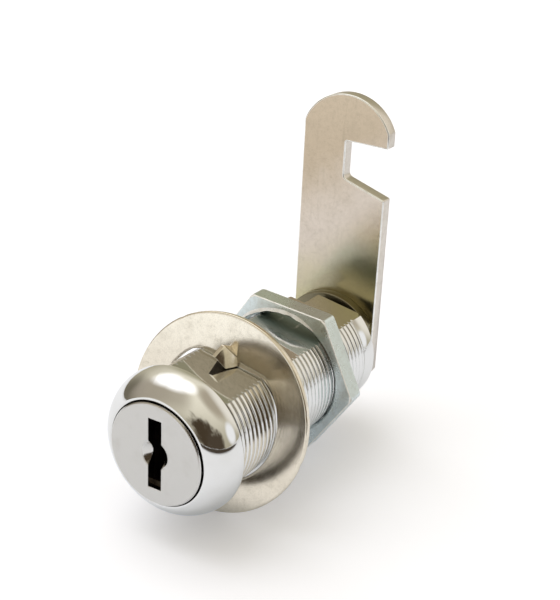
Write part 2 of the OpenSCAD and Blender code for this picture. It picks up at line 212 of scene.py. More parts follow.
class NutSizes(bpy.types.PropertyGroup):
    """Sizes of the two hexagon nuts and the spring washer."""

    mount_af: mm("Mounting nut", "Distance across the mounting nut's flats", 22.2)
    mount_bore: mm("Mounting bore", "Radius inside the mounting nut's thread", 9.58)
    mount_turn: angle("Mounting nut turn", "Turn of the mounting nut, clockwise", 4)
    mount_pitch: mm("Mounting pitch", "Distance between the nut's threads", 1.0)
    mount_chamfer: mm("Mounting chamfer", "Height of the mounting nut's turned-down corners", 0.15)
    cam_af: mm("Cam nut", "Distance across the cam nut's flats", 8.0)
    cam_bore: mm("Cam nut bore", "Radius inside the cam nut's thread", 2.55)
    cam_chamfer: mm("Cam nut chamfer", "Height of the cam nut's turned-down corners", 0.35)
    cam_pitch: mm("Cam nut pitch", "Distance between the cam nut's threads", 0.8)
    thread: mm("Thread depth", "Depth of the nuts' threads", 0.35)
    edge: mm("Edge", "Small bevel on every edge", 0.13)
    burr: mm("Burr", "Height of the ragged burr around the thread's mouth", 0.25)
    burr_w: mm("Burr width", "Width of the burr's outer slope", 0.42)
    burr_at: angle("Burr angle", "Where around the nut the burr is highest", 100.0)
    ring_in: mm("Ring inside", "Inner radius of the spring washer", 2.55)
    ring_out: mm("Ring outside", "Outer radius of the spring washer", 4.1)
    ring_edge: mm("Ring edge", "Rounding of the spring washer's edges", 0.15)
    ring_gap: angle("Ring gap", "Angle of the split in the spring washer", 9)
    ring_rise: mm("Ring rise", "How far the split ends stand apart", 0.2)


class WasherSizes(bpy.types.PropertyGroup):
    """Sizes of the loose panel washer and its spur."""

    radius: mm("Radius", "Radius of the washer", 14.7)
    thickness: mm("Thickness", "Thickness of the washer", 0.9)
    hole_r: mm("Hole", "Radius of the washer's hole", 9.9)
    hole_flat: mm("Hole flats", "Distance of the hole's flats from its middle", 8.3)
    middle_y: mm("Place", "Place of the washer's middle on the barrel", 8.6)
    lean: angle("Lean", "Lean of the loose washer, top back", 11.5)
    lift: mm("Lift", "How far the washer stands up", 0.15)
    edge: mm("Edge", "Rounding of the washer's edges", 0.2)
    nick: mm("Nicks", "Depth of the small nicks in the rim", 0.12)
    lip: mm("Hole lip", "How far the hole's upper flat reaches down at the front", 0.42)
    spur_base: mm("Spur base", "Distance of the spur's underside from the axis", 7.92)
    spur_h: mm("Spur height", "Height of the spur", 3.0)
    spur_w: mm("Spur width", "Width of the spur at the washer", 3.7)
    spur_x: mm("Spur middle", "Place of the spur's root across the flat", -0.55)
    spur_toe_x: mm("Spur toe", "Place of the spur's toe across the flat", 0.35)
    spur_nose_x: mm("Spur nose", "Place of the spur's nose across the flat", -1.35)
    spur_top_x: mm("Spur top", "Place of the spur's top across the flat", -0.85)
    spur_reach: mm("Spur reach", "Reach of the spur's toe in front of the washer", 2.0)
    spur_nose_h: mm("Nose height", "Height of the nose above the toe", 1.35)
    spur_nose_lead: mm("Nose lead", "How far the nose is in front of the toe", 0.6)
    spur_top_lag: mm("Top lag", "How far the top is behind the toe", 0.7)
    spur_facet: mm("Spur facet", "Width of the facet from the top to the nose", 0.6)
    spur_back_h: mm("Spur back", "Height at which the back leaves the washer", 2.1)
    spur_side_h: mm("Spur side", "Height at which the right side leaves the washer", 0.8)
    spur_side_in: mm("Spur side in", "How far in the right side leaves the washer", 0.4)
    spur_round: mm("Spur edges", "Rounding of the spur's edges", 0.12)


class FinishColours(bpy.types.PropertyGroup):
    """Colours of the platings and metals."""

    chrome: colour("Chrome", "Bright plating of the housing", (0.79, 0.79, 0.785))
    # Painted shade: darkens the bottoms of the thread and the flats behind the head
    root: colour("Thread root", "Shade in the thread and film on the flats", (0.285, 0.29, 0.24))
    satin: colour("Satin cap", "Satin face cap", (0.66, 0.65, 0.63))
    # Also the colour of the painted shade line in the corner behind the head
    plug: colour("Plug", "Dark zinc of the plug, and the seam behind the head", (0.07, 0.055, 0.045))
    brass: colour("Brass", "Wafers", (0.62, 0.44, 0.17))
    spring: colour("Spring steel", "Wafer springs and spring washer", (0.36, 0.35, 0.33))
    stop: colour("Stop steel", "Stop plate", (0.24, 0.215, 0.14))
    cam: colour("Cam", "Warm nickel of the cam", (0.71, 0.63, 0.55))
    sheared: colour("Sheared edge", "Bare edge of the stamped cam", (0.72, 0.67, 0.61))
    washer: colour("Washer", "Olive nickel of the panel washer", (0.82, 0.755, 0.64))
    zinc: colour("Zinc nut", "Blue-green zinc of the nuts", (0.71, 0.79, 0.80))
    # Near-white: real wear on the nuts' edges, and a painted highlight there and on the cam's rolled
    # edges
    wear_and_glint: colour("Worn edge", "Worn edges of the nuts and rolled edges of the cam", (1.0, 1.0, 0.98))
    grime: colour("Grime", "Dull film in the finish", (0.30, 0.26, 0.19))
    # Painted shade low on the cam's front face
    olive: colour("Olive tint", "Tint of the plating at the cam's lower end", (0.545, 0.50, 0.285))
    # Darker tint towards the cam's tip
    tan: colour("Tan tint", "Tint of the plating at the cam's tip", (0.55, 0.445, 0.32))
    # Painted shade on the flats in and by the mounting nut
    nut_shade: colour("Grease", "Dark grease on the flats by the nut", (0.20, 0.255, 0.225))


class StageSizes(bpy.types.PropertyGroup):
    """Camera, light and floor."""

    azimuth: angle("Azimuth", "Camera's turn from the front to the right", 31.684)
    elevation: angle("Elevation", "Camera's height over the horizon", 23.613)
    roll: angle("Roll", "Camera's roll", 2.901)
    distance: mm("Distance", "Camera's distance from its aim", 164.045)
    aim_x: mm("Aim X", "Camera's aim, across", 7.073)
    aim_y: mm("Aim Y", "Camera's aim, along the lock", 12.8)
    aim_z: mm("Aim Z", "Camera's aim, up", 18.3)
    lens: share("Lens", "Focal length in millimetres on a 36 mm sensor", 72.0)
    key_watts: share("Key light", "Power of the soft light above", 1.75)
    key_size: length("Key size", "Side of the soft light", 0.62)
    key_azimuth: angle("Key azimuth", "Soft light's turn from the front to the right", -85)
    key_height: angle("Key height", "Soft light's height over the horizon", 60)
    key_distance: length("Key distance", "Soft light's distance from the camera's aim", 0.6)
    window_level: share("Window", "How much brighter the window is than white", 1.7)
    floor_reach: length("Floor reach", "Distance of the floor's sides from the axis", 3.0)
    floor_glow: share("Floor glow", "What the camera adds to the floor's white", 0.26)
    floor_haze: share("Floor haze", "What the camera adds to the floor far away", 0.3)
    floor_mirror: share("Floor in mirrors", "What mirrors add to the floor's white", 0.17)
    floor_cool: colour("Floor's cool light", "Tint of the floor in mirrors", (0.80, 0.91, 1.0))
    floor_far: share("Far light", "What mirrors add to the floor at the front left", 0.45)
    floor_colour: colour("Floor", "Colour of the floor", (0.76, 0.77, 0.83))
    floor_dark: colour("Floor's dark side", "Floor far to the right, in mirrors", (0.07, 0.055, 0.04))
    wall_low: colour("Wall, low", "Room colour near the horizon", (0.47, 0.43, 0.32))
    wall_high: colour("Wall, high", "Room colour overhead", (0.98, 0.92, 0.76))


class CamLockSettings(bpy.types.PropertyGroup):
    """Everything that can be set on the cam lock."""

    housing: PointerProperty(type=HousingSizes)
    face: PointerProperty(type=FaceSizes)
    cam: PointerProperty(type=CamSizes)
    nuts: PointerProperty(type=NutSizes)
    washer: PointerProperty(type=WasherSizes)
    colours: PointerProperty(type=FinishColours)
    stage: PointerProperty(type=StageSizes)


def operator_pair(operation):
    """The plain and the reflected form of an operator between wires and numbers."""

    def plain(self, other):
        return self.math(operation, self, other)

    def reflected(self, other):
        return self.math(operation, other, self)

    return plain, reflected


class Wire:
    """An output socket in a node tree. Operators between wires and numbers add Math nodes."""

    __add__, __radd__ = operator_pair("ADD")
    __sub__, __rsub__ = operator_pair("SUBTRACT")
    __mul__, __rmul__ = operator_pair("MULTIPLY")

    def __init__(self, tree, socket=None):
        self.tree = tree
        self.socket = socket

    def __abs__(self):
        return self.math("ABSOLUTE", self)

    def node(self, kind, options=None, sockets=None, out=0):
        """Adds a shader node: options, then values or links of its sockets. Gives one output."""
        made = self.tree.nodes.new("ShaderNode" + kind)
        for key, value in (options or {}).items():
            setattr(made, key, value)
        for key, value in (sockets or {}).items():
            if isinstance(value, Wire):
                self.tree.links.new(value.socket, made.inputs[key])
            else:
                made.inputs[key].default_value = value
        return Wire(self.tree, made.outputs[out]) if len(made.outputs) else None

    def split(self, kind, outputs, sockets=None):
        """Adds a node and gives several of its outputs by name."""
        made = self.node(kind, {}, sockets).socket.node
        return [Wire(self.tree, made.outputs[name]) for name in outputs]

    def axes(self, place):
        """The three coordinates of a place."""
        return self.split("SeparateXYZ", "XYZ", {0: place})

    def measure(self, operation, first, second):
        """A Vector Math node of two vectors that gives a number."""
        sockets = {0: first, 1: second}
        return self.node("VectorMath", {"operation": operation}, sockets, out="Value")

    def math(self, operation, first, second=0.0):
        """A Math node of two values."""
        return self.node("Math", {"operation": operation}, {0: first, 1: second})

    def between(self, start, end):
        """0 below start, 1 above end and smooth between them."""
        sockets = {"Value": self, "From Min": start, "From Max": end}
        return self.node("MapRange", {"interpolation_type": "SMOOTHSTEP"}, sockets)

    def noise(self, place, scale, detail=3.0, rough=0.55):
        """Noise at a place; the scale is in waves per metre."""
        sockets = {"Vector": place, "Scale": scale, "Detail": detail, "Roughness": rough}
        return self.node("TexNoise", {}, sockets)

    def streaks(self, place, scale, detail=4.0, rough=0.55):
        """Noise with its own scale along each axis."""
        stretched = self.node("Mapping", {}, {"Vector": place, "Scale": scale})
        return self.noise(stretched, 1.0, detail, rough)

    def mix(self, first, second, amount):
        """Colour between two colours; the node's colours come after its numbers and vectors."""
        sockets = {0: amount, 6: rgba(first), 7: rgba(second)}
        return self.node("Mix", {"data_type": "RGBA"}, sockets, out=2)

    def layers(self, tone, over):
        """A colour with others laid over it in turn, each with its amount."""
        for other, amount in over:
            tone = self.mix(tone, other, amount)
        return tone

    def bump(self, height, distance, normal=None):
        """A bump whose height is a share of a distance in metres."""
        sockets = {"Height": height, "Distance": distance, "Strength": 1.0}
        if normal:
            sockets["Normal"] = normal
        return self.node("Bump", {}, sockets)


def rgba(value):
    """A colour with its alpha, or a wire as it is."""
    return value if isinstance(value, Wire) else (*value[:3], 1)


def new_finish(name):
    """An empty material, a wire of its tree and the place on the piece."""
    made = bpy.data.materials.new(name + FINISH_MARK)
    made.use_nodes = True
    made.node_tree.nodes.clear()
    wire = Wire(made.node_tree)
    return made, wire, wire.node("TexCoord", out="Object")


def metal(made, wire, base, rough, normal, metallic=1.0):
    """Ends a material in a metal shader."""
    shader = wire.node("BsdfPrincipled", {}, {
        "Base Color": base, "Roughness": rough, "Normal": normal, "Metallic": metallic,
    })
    wire.node("OutputMaterial", {}, {"Surface": shader})
    return made


def settings():
    """The scene's cam lock settings."""
    return bpy.context.scene.cam_lock


def finish(name):
    """A material by name, made on its first use; the solids' plain materials keep their names."""
    made = bpy.data.materials.get(name + FINISH_MARK)
    return made or SPECIAL_FINISHES.get(name, plated_finish)(name, settings().colours)


def chrome_finish(name, colours):
    """Bright plating with gentle waves, faint pits and a thin film; painted shade in the bottoms of
    the thread, on the flats behind the head and on the flats in and by the nut, and a dark painted
    shade line in the corner where the barrel meets the head."""
    made, wire, place = new_finish(name)
    h = settings().housing
    x, y, z = wire.axes(place)
    radius = wire.math("SQRT", x * x + z * z)
    across = abs(x * math.sin(h.flat_roll) + z * math.cos(h.flat_roll))
    on_flat = across.between(h.flat_z - 0.1 * MM, h.flat_z - 0.02 * MM)
    past_head = y.between(0.2 * MM, 0.6 * MM)
    thread_end = h.rear_y - h.collar_l
    on_thread = past_head * (1 - y.between(thread_end, thread_end + 0.2 * MM)) * (1 - on_flat)
    root = 1 - radius.between(h.barrel_r - h.thread_depth, h.barrel_r - 0.1 * MM)
    shade = root * on_thread
    # Painted shade on the flats behind the head, darkening what they reflect
    flat_shade = past_head * (1 - y.between(8 * MM, 14 * MM)) * on_flat
    film = wire.noise(place, 260.0, 4.0).between(0.45, 0.8)
    # Painted shade on the flats in front of, in and just behind the mounting nut
    nut_y = low("mounting_nut", Y)
    smeared = y + (wire.noise(place, 420.0) - 0.5) * 1.5 * MM
    nut_shade_mask = smeared.between(nut_y - 4.2 * MM, nut_y - 0.2 * MM)
    nut_shade_mask = nut_shade_mask * (1 - smeared.between(nut_y + 4 * MM, nut_y + 5 * MM)) * on_flat
    # Streaks where the painted shade by the nut is lighter
    shade_breaks = wire.streaks(place, (700.0, 300.0, 700.0)).between(0.6, 0.72)
    # Painted shade: a thin dark line in the corner where the barrel meets the head
    corner_shade = y.between(-0.12 * MM, -0.04 * MM) * (1 - y.between(0.04 * MM, 0.12 * MM))
    corner_shade = corner_shade * radius.between(h.barrel_r + 0.02 * MM, h.barrel_r + 0.08 * MM)
    base = wire.layers(colours.chrome, [
        (colours.root, shade * 0.15),
        (colours.root, flat_shade * 0.5),
        (colours.grime, film * 0.06),
        (colours.nut_shade, nut_shade_mask * (0.95 - shade_breaks * 0.6)),
        (colours.plug, corner_shade * 0.8),
    ])
    rough = 0.045 + film * 0.05 + shade * 0.16 + nut_shade_mask * 0.5 + corner_shade * 0.2
    waves = wire.bump(wire.noise(place, 170.0, 1.0), 30e-6)
    pits = wire.bump(wire.noise(place, 3200.0, 4.0), 1.2e-6, waves)
    return metal(made, wire, base, rough, pits)


def satin_finish(name, colours):
    """Satin cap: fine even grain, faint cloudiness and a brighter dish around the key slot."""
    made, wire, place = new_finish(name)
    grain = wire.noise(place, 9000.0, 3.0, 0.7)
    cloud = wire.noise(place, 420.0, 4.0)
    y = wire.axes(place)[Y]
    dish = (y - settings().face.front_y).between(0.04 * MM, 0.12 * MM)
    base = wire.mix(colours.satin, colours.grime, cloud.between(0.5, 0.85) * 0.12)
    rough = (0.36 + cloud * 0.08 + grain * 0.06) * (1 - dish) + dish * 0.12
    return metal(made, wire, base, rough, wire.bump(grain, 5e-6))


class Plating(NamedTuple):
    """A streaked metal: the name of its colour, its roughness, the waves per metre of its streaks
    along X, Y and Z, the depth of its grain in metres, and how metallic it is."""

    colour: str
    rough: float
    streaks: tuple
    grain: float
    metallic: float = 1.0


PLATINGS = {
    # Warm nickel of the cam, its sheared edges, and its rolled edges near-white as a painted
    # highlight
    "nickel_cam": Plating("cam", 0.22, (1800.0, 900.0, 130.0), 3e-6),
    "sheared_edge": Plating("sheared", 0.30, (2600.0, 250.0, 2600.0), 14e-6),
    "rolled_edge": Plating("wear_and_glint", 0.30, (900.0, 900.0, 900.0), 2e-6),
    # Olive nickel of the washer, blue-green zinc of the nuts, worn edges near-white as painted
    # highlight
    "nickel_washer": Plating("washer", 0.16, (700.0, 700.0, 700.0), 3e-6),
    "zinc_nut": Plating("zinc", 0.28, (900.0, 260.0, 900.0), 4e-6),
    "worn_edge": Plating("wear_and_glint", 0.34, (900.0, 900.0, 900.0), 2e-6, 0.4),
    # Dark spring steel, rolled steel of the stop plate, cast zinc of the plug, brass of the wafers
    "spring_steel": Plating("spring", 0.30, (1500.0, 1500.0, 1500.0), 6e-6),
    "stop_steel": Plating("stop", 0.32, (1600.0, 600.0, 200.0), 7e-6),
    "plug_zinc": Plating("plug", 0.42, (600.0, 600.0, 600.0), 12e-6),
    "wafer_brass": Plating("brass", 0.30, (1800.0, 600.0, 300.0), 6e-6),
}


def cam_tints(wire, place, cloud, colours):
    """Tints of the cam's nickel: olive painted shade low on its front, and a darker tan at its tip.
    """
    x, y, z = wire.axes(place)
    height = z - x * 0.6 + (cloud - 0.5) * 6 * MM
    face = settings().cam.front_y
    front = 1 - y.between(face + 0.2 * MM, face + 0.6 * MM)
    # Painted shade, low on the front face
    lower = 1 - height.between(5 * MM, 21 * MM)
    # Darker tan towards the tip
    upper = height.between(20 * MM, 34 * MM)
    return [(colours.olive, lower * front), (colours.tan, upper * 0.9)]


def plated_finish(name, colours):
    """Plated metal: streaks of drawing, clouds and blotches of grime, and a fine grain."""
    plating = PLATINGS[name]
    made, wire, place = new_finish(name)
    streaks = wire.streaks(place, plating.streaks, rough=0.65)
    cloud = wire.noise(place, 300.0, 5.0, 0.6)
    blotch = wire.noise(place, 1100.0, 5.0, 0.65)
    grain = wire.noise(place, 5200.0, 3.0, 0.7)
    # The cam gets painted shade low on its front and a darker tip
    tints = cam_tints(wire, place, cloud, colours) if name == "nickel_cam" else []
    tone = wire.layers(getattr(colours, plating.colour), tints + [
        (colours.grime, cloud.between(0.48, 0.82) * 0.18),
        (colours.grime, blotch.between(0.45, 0.75) * 0.2),
        (colours.grime, streaks.between(0.56, 0.75) * 0.18),
        (colours.grime, grain.between(0.45, 0.8) * 0.3),
    ])
    rough = plating.rough + cloud * 0.10 + streaks * 0.08 - 0.09
    normal = wire.bump(streaks * 0.5 + grain * 0.5, plating.grain)
    return metal(made, wire, tone, rough, normal, plating.metallic)


SPECIAL_FINISHES = {"chrome_plate": chrome_finish, "satin_cap": satin_finish}


def grid_quads(rows, columns, close_rows=False, close_columns=True):
    """Four-sided faces between neighbouring points of a grid, as rows of point numbers."""
    i = np.arange(rows if close_rows else rows - 1)[:, None]
    j = np.arange(columns if close_columns else columns - 1)[None, :]
    up = (i + 1) % rows
    right = (j + 1) % columns
    corners = [i * columns + j, i * columns + right, up * columns + right, up * columns + j]
    return np.stack(corners, axis=-1).reshape(-1, 4)


def turned_surface(rings, angles, close_rows=True, close_columns=True):
    """Points (r cos a, y, r sin a) of rings about the Y axis, and the faces between them. A ring
    is a radius and a place, each one value or one by angle."""
    radius, y = (np.array([part + 0 * angles for part in parts]) for parts in zip(*rings))
    points = np.stack([radius * np.cos(angles), y, radius * np.sin(angles)], axis=-1)
    return points, grid_quads(len(rings), len(angles), close_rows, close_columns)


def swept_surface(section, angles, rise=0.0, start=0):
    """A closed section of radius and place carried part of a turn about the Y axis, moved by a
    rise by angle, and closed at both ends. Its points are numbered from the start."""
    rings = [(u, v + rise) for u, v in section]
    points, faces = turned_surface(rings, angles, close_columns=False)
    first = np.arange(len(section)) * len(angles) + start
    ends = [first.tolist(), (first + len(angles) - 1).tolist()]
    return points, (faces + start).tolist() + ends


def arc(centre, radius, start, end, count):
    """Points of an arc in two coordinates; start and end are angles in radians."""
    a = np.linspace(start, end, count)
    return np.stack([centre[0] + radius * np.cos(a), centre[1] + radius * np.sin(a)], axis=-1)


def bend(before, corner, after, size, count=7):
    """A rounded corner: the curve (1-s)^2 A + 2s(1-s) C + s^2 B between points near C."""
    corner = np.array(corner)
    to_a = np.array(before) - corner
    to_b = np.array(after) - corner
    a = corner + to_a / np.linalg.norm(to_a) * size
    b = corner + to_b / np.linalg.norm(to_b) * size
    s = np.linspace(0, 1, count)[:, None]
    return (1 - s) ** 2 * a + 2 * s * (1 - s) * corner + s**2 * b


def flat_limit(angles, distance, normal_angle):
    """Radius at which two opposite flats cut a round bar: distance / |cos(a - normal)|."""
    return distance / np.maximum(np.abs(np.cos(angles - normal_angle)), TINY)


def box_limit(angles, half_x, half_z):
    """Radius of a rectangle's outline about its middle, by angle."""
    return np.minimum(flat_limit(angles, half_x, 0), flat_limit(angles, half_z, QUARTER))


def rounded_box(low_u, high_u, low_v, high_v, edge, steps=4):
    """Closed outline of a rectangle in u and v with rounded corners, once round."""
    centres = [
        (high_u - edge, high_v - edge), (low_u + edge, high_v - edge),
        (low_u + edge, low_v + edge), (high_u - edge, low_v + edge),
    ]
    corners = [arc(c, edge, k * QUARTER, (k + 1) * QUARTER, steps) for k, c in enumerate(centres)]
    return np.concatenate(corners)


def thread_form(phase, groove=0.02, flank=0.28, crown=0.15):
    """Height of a thread by its phase, from 0 to 1: narrow groove, flank, slightly crowned crest."""
    ridge = 1 - np.abs(2 * (phase % 1.0) - 1)
    up = np.clip((ridge - groove) / flank, 0, 1)
    return (1 - crown) * up * up * (3 - 2 * up) + crown * ridge


def thread_rings(angles, start, stop, pitch, phases, root, depth, run_in, run_out):
    """Rings of a thread between two places. A ring climbs one pitch in a turn, so that it keeps to
    one height of the thread; rings that would pass the thread's ends are held there and merge. The
    thread rises from its root within a share of the pitch, its run-in and run-out."""
    climb = (angles - angles[0]) / TURN * pitch
    rings = []
    for phase in phases:
        y = np.clip(start + phase * pitch - climb, start, stop)
        full = np.minimum((y - start) / run_in, (stop - y) / run_out) / pitch
        rings.append((root + depth * thread_form(phase) * np.clip(full, 0, 1), y))
    return rings


def rim_rings(limit, start, end, edge, count):
    """Rings over a plate's rounded rim, from one side of the plate to the other."""
    way = math.copysign(1, end - start)
    corner = arc((0, 0), edge, -QUARTER, 0, count)
    over = [(limit - edge + u, way * (edge + v)) for u, v in corner]
    return [(r, start + y) for r, y in over] + [(r, end - y) for r, y in reversed(over)]


def moved(surface, matrix):
    """A surface carried by a matrix."""
    points, *rest = surface
    m = np.array(matrix)
    return points @ m[:3, :3].T + m[:3, 3], *rest


def make_piece(name, surface, body, slot, nodes=(), sharp=38, finishes=None):
    """Puts a closed surface into a mesh, with merged seams, outward faces and flat many-sided ends,
    and rides it. A surface is points, faces and, with several finishes, a number by face."""
    points, faces, *face_finish = surface
    mesh = bpy.data.meshes.new(name)
    faces = faces if isinstance(faces, list) else faces.tolist()
    mesh.from_pydata(points.reshape(-1, 3).tolist(), [], faces)
    for finish_name in finishes or [slot]:
        mesh.materials.append(finish(finish_name))
    if face_finish:
        mesh.polygons.foreach_set("material_index", np.array(face_finish[0], dtype=np.int32))
    work = bmesh.new()
    work.from_mesh(mesh)
    bmesh.ops.remove_doubles(work, verts=work.verts, dist=MERGE)
    bmesh.ops.dissolve_degenerate(work, edges=work.edges, dist=MERGE)
    bmesh.ops.recalc_face_normals(work, faces=work.faces)
    work.to_mesh(mesh)
    work.free()
    mesh.shade_smooth()
    mesh.set_sharp_from_angle(angle=math.radians(sharp))
    corners = np.empty(len(mesh.polygons), dtype=np.int32)
    mesh.polygons.foreach_get("loop_total", corners)
    mesh.polygons.foreach_set("use_smooth", corners <= 4)
    piece = bpy.data.objects.new(name, mesh)
    bpy.context.scene.collection.objects.link(piece)
    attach(piece, body)
    if nodes:
        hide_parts(*nodes)
    return piece


def barrel_angles(h):
    """Angles around the barrel, once round from the middle of the lower flat, closer together
    where the thread runs out on the flats and at the ends of the stop's cut-out."""
    crest = math.acos(h.flat_z / h.barrel_r) + math.radians(0.7)
    root = math.acos(h.flat_z / (h.barrel_r - h.thread_depth)) - math.radians(0.9)
    normal = QUARTER - h.flat_roll
    stretches = [
        (-math.pi, -math.pi + root, 10),
        (-math.pi + root, -math.pi + crest, 18),
        (-math.pi + crest, -crest, 44),
        (-crest, -root, 18),
        (-root, 0, 10),
    ]
    half = np.concatenate([np.linspace(a, b, n, endpoint=False) for a, b, n in stretches])
    around = np.concatenate([half, -half[::-1], [0, math.pi]])
    step = math.radians(0.03)
    ends = np.array([end + side for end in (h.cutout_a0, h.cutout_a1) for side in (-step, step)])
    ends = (ends - normal + math.pi) % TURN - math.pi
    return np.unique(np.round(np.concatenate([around, ends]), 9)) + normal


# Where the rings of one turn of the barrel's thread lie, closer together at its groove
THREAD_PHASES = np.array([0.0, 0.04, 0.08, 0.12, 0.16, 0.30, 0.50, 0.70, 0.84, 0.88, 0.92, 0.96])


def housing_surface(h):
    """Rings about Y, each a radius and a place by angle: head, thread, collar, bore and grooves.
    The flats cut the barrel, and the stop's cut-out its rear end."""
    a = barrel_angles(h)
    flat = flat_limit(a, h.flat_z, QUARTER - h.flat_roll)
    bore_front = high("face_cap", X) + h.gap
    rim_middle = (bore_front + h.rim_edge, h.front_y + h.rim_edge)
    rim = arc(rim_middle, h.rim_edge, -math.pi, -QUARTER, 4)
    dome_l = -h.edge_r - h.front_y
    rise = h.head_r - bore_front - h.rim_w
    dome_r = (rise**2 + dome_l**2) / (2 * rise)
    dome = arc((h.head_r - dome_r, -h.edge_r), dome_r, -math.asin(dome_l / dome_r), 0, 36)
    edge = arc((h.head_r - h.edge_r, -h.edge_r), h.edge_r, 0, QUARTER, 8)
    neck = np.minimum(h.barrel_r, flat)
    rings = [(h.bore_r, h.shoulder_y), (bore_front, h.shoulder_y), *rim, *dome, *edge[1:]]
    rings += [(neck, 0), (neck, h.neck_l)]
    thread_end = h.rear_y - h.collar_l
    rear = np.where((a > h.cutout_a0) & (a < h.cutout_a1), h.rear_y - h.cutout_depth, h.rear_y)
    root_r = h.barrel_r - h.thread_depth
    root = np.minimum(root_r, flat)
    turns = int(math.ceil((thread_end - h.thread_y) / h.pitch)) + 1
    phases = (np.arange(turns)[:, None] + THREAD_PHASES).ravel()
    thread = (h.thread_y, thread_end, h.pitch, phases, root_r, h.thread_depth)
    for radius, y in thread_rings(a, *thread, run_in=0.7, run_out=0.7):
        ridge = np.minimum(radius, flat)
        rings.append((np.where(y > rear, root, ridge), np.minimum(y, rear)))
    collar = np.where(rear < h.rear_y, root, neck)
    rings.append((root, np.minimum(thread_end, rear)))
    for y in (thread_end + h.collar_ramp, h.rear_y - h.chamfer):
        rings.append((collar, np.minimum(y, rear)))
    rings += [(np.minimum(h.barrel_r - h.chamfer, collar), rear), (h.bore_r, rear)]
    groove = np.maximum(
        box_limit(a, h.groove_half, h.groove_r), box_limit(a, h.groove_r, h.groove_half)
    )
    groove = np.maximum(groove, h.bore_r)
    rings += [(h.bore_r, h.groove_y1), (groove, h.groove_y1)]
    rings += [(groove, h.groove_y0), (h.bore_r, h.groove_y0)]
    return turned_surface(rings, a, close_columns=False)


def keyhole_angles(f, count=144):
    """Angles once round, with one at each corner of the keyhole's outline."""
    corner = math.atan2(f.slot_h, f.slot_w)
    junction = math.acos(f.slot_w / f.eye_d)
    special = np.array([corner, junction])
    special = np.concatenate([special, math.pi - special, math.pi + special, TURN - special])
    even = np.arange(count) * TURN / count
    return np.unique(np.round(np.concatenate([even, special]), 9))


def cap_surface(f):
    """A ring section carried round: the wall of the key slot, widened by the larger of the slot
    and a round dish that narrows with its depth, then face, bevel, outer wall and back."""
    a = keyhole_angles(f)
    slot = box_limit(a, f.slot_w / 2, f.slot_h / 2)
    e = f.slot_edge
    b = f.bevel
    rings = [(slot, f.back_y), (slot, f.front_y + f.eye_depth + e)]
    for depth in np.linspace(f.eye_depth, e, 9):
        rings.append((np.maximum(slot, f.eye_d / 2 - depth), f.front_y + depth))
    inner = np.maximum(slot, f.eye_d / 2) + e
    outer = f.radius - b * 1.25
    rings += [(inner - 0.6 * e, f.front_y + 0.25 * e)]
    rings += [(inner + (outer - inner) * s, f.front_y) for s in np.linspace(0, 1, 9)]
    rings += [(f.radius - b, f.front_y + 0.03 * MM), (f.radius - 0.06 * MM, f.front_y + b)]
    rings += [(f.radius, f.front_y + b * 1.3), (f.radius, f.back_y)]
    return turned_surface(rings, a)


def stud_surface(f, start):
    """A threaded sleeve with a chamfered, closed end, over the end of the stud's core."""
    a = np.linspace(0, TURN, 65)
    core = f.stud_r + SLEEVE_OFF
    end = f.stud_end + SLEEVE_OFF
    stop = end - f.stud_chamfer
    count = int((stop - start) / f.stud_pitch + 2) * THREAD_ROWS
    thread = (start, stop, f.stud_pitch, np.arange(count) / THREAD_ROWS, core, f.stud_skin)
    rings = [(0, start), (core, start), *thread_rings(a, *thread, run_in=0.2, run_out=0.4)]
    rings += [(core, stop), (core - f.stud_chamfer, end), (0, end)]
    return turned_surface(rings, a, close_rows=False, close_columns=False)


def hex_limit(angles, af, turn, corner_cut):
    """Radius of a hexagon with a flat on top, turned clockwise, with its corners eased."""
    sixth = TURN / 6
    off = (angles - QUARTER + turn + sixth / 2) % sixth - sixth / 2
    return np.minimum(af / 2 / np.cos(off), af / math.sqrt(3) - corner_cut)


def nut_surface(n, af, bore, pitch, turn, chamfer, front, back):
    """A ring section carried round a hexagon: threaded bore, ragged burr around its mouth, faces
    with turned-down corners and rounded edges. Gives points, faces and, by face, 1 on the front
    edges and the burr, near-white for wear and a painted highlight, and 0 elsewhere."""
    count = 6 * 60
    a = np.arange(count) * TURN / count + QUARTER - turn + TURN / 12
    side = hex_limit(a, af, turn, n.edge * 0.6)
    cone = af / math.sqrt(3) - 2 * chamfer
    face = np.minimum(side, cone)
    drop = np.maximum(side - cone, 0) / 2
    mouth = bore + n.thread + 0.1 * MM
    heights = np.arange(0.3 * MM, back - front - 0.3 * MM, pitch / THREAD_ROWS)[::-1]
    rings = []
    for y in heights:
        rings.append((bore + n.thread * (1 - thread_form(y / pitch + a / TURN)), front + y))
    # The burr is full within 25 degrees of its middle and almost gone beyond 50
    fade = np.clip(4 * np.cos(a - n.burr_at) - 2.6, 0.12, 1)
    ragged = n.burr * fade * (1 + 0.45 * np.sin(23 * a) * np.sin(7 * a + 1))
    rings += [(mouth - 0.5 * ragged, front), (mouth - 0.3 * ragged, front - ragged)]
    burr_end = mouth + n.burr_w * fade
    rings += [(burr_end, front), (burr_end + 0.03 * MM, front)]
    edge = len(rings)
    edge_rings = 4
    for k, (u, v) in enumerate(arc((0, 0), n.edge, -QUARTER, 0, edge_rings)):
        rings.append((face - n.edge + u, front + n.edge + v + drop * k / (edge_rings - 1)))
    rings += [(side, front + drop + 1.2 * n.edge), (side, back - drop - n.edge)]
    rings += [(face - n.edge, back), (mouth, back)]
    points, faces = turned_surface(rings, a)
    row, column = np.divmod(np.arange(len(faces)), count)
    on_edge = (row >= edge) & (row < edge + edge_rings)
    burr_slope = edge - 3
    return points, faces, on_edge | ((row == burr_slope) & (fade[column] > 0.3))


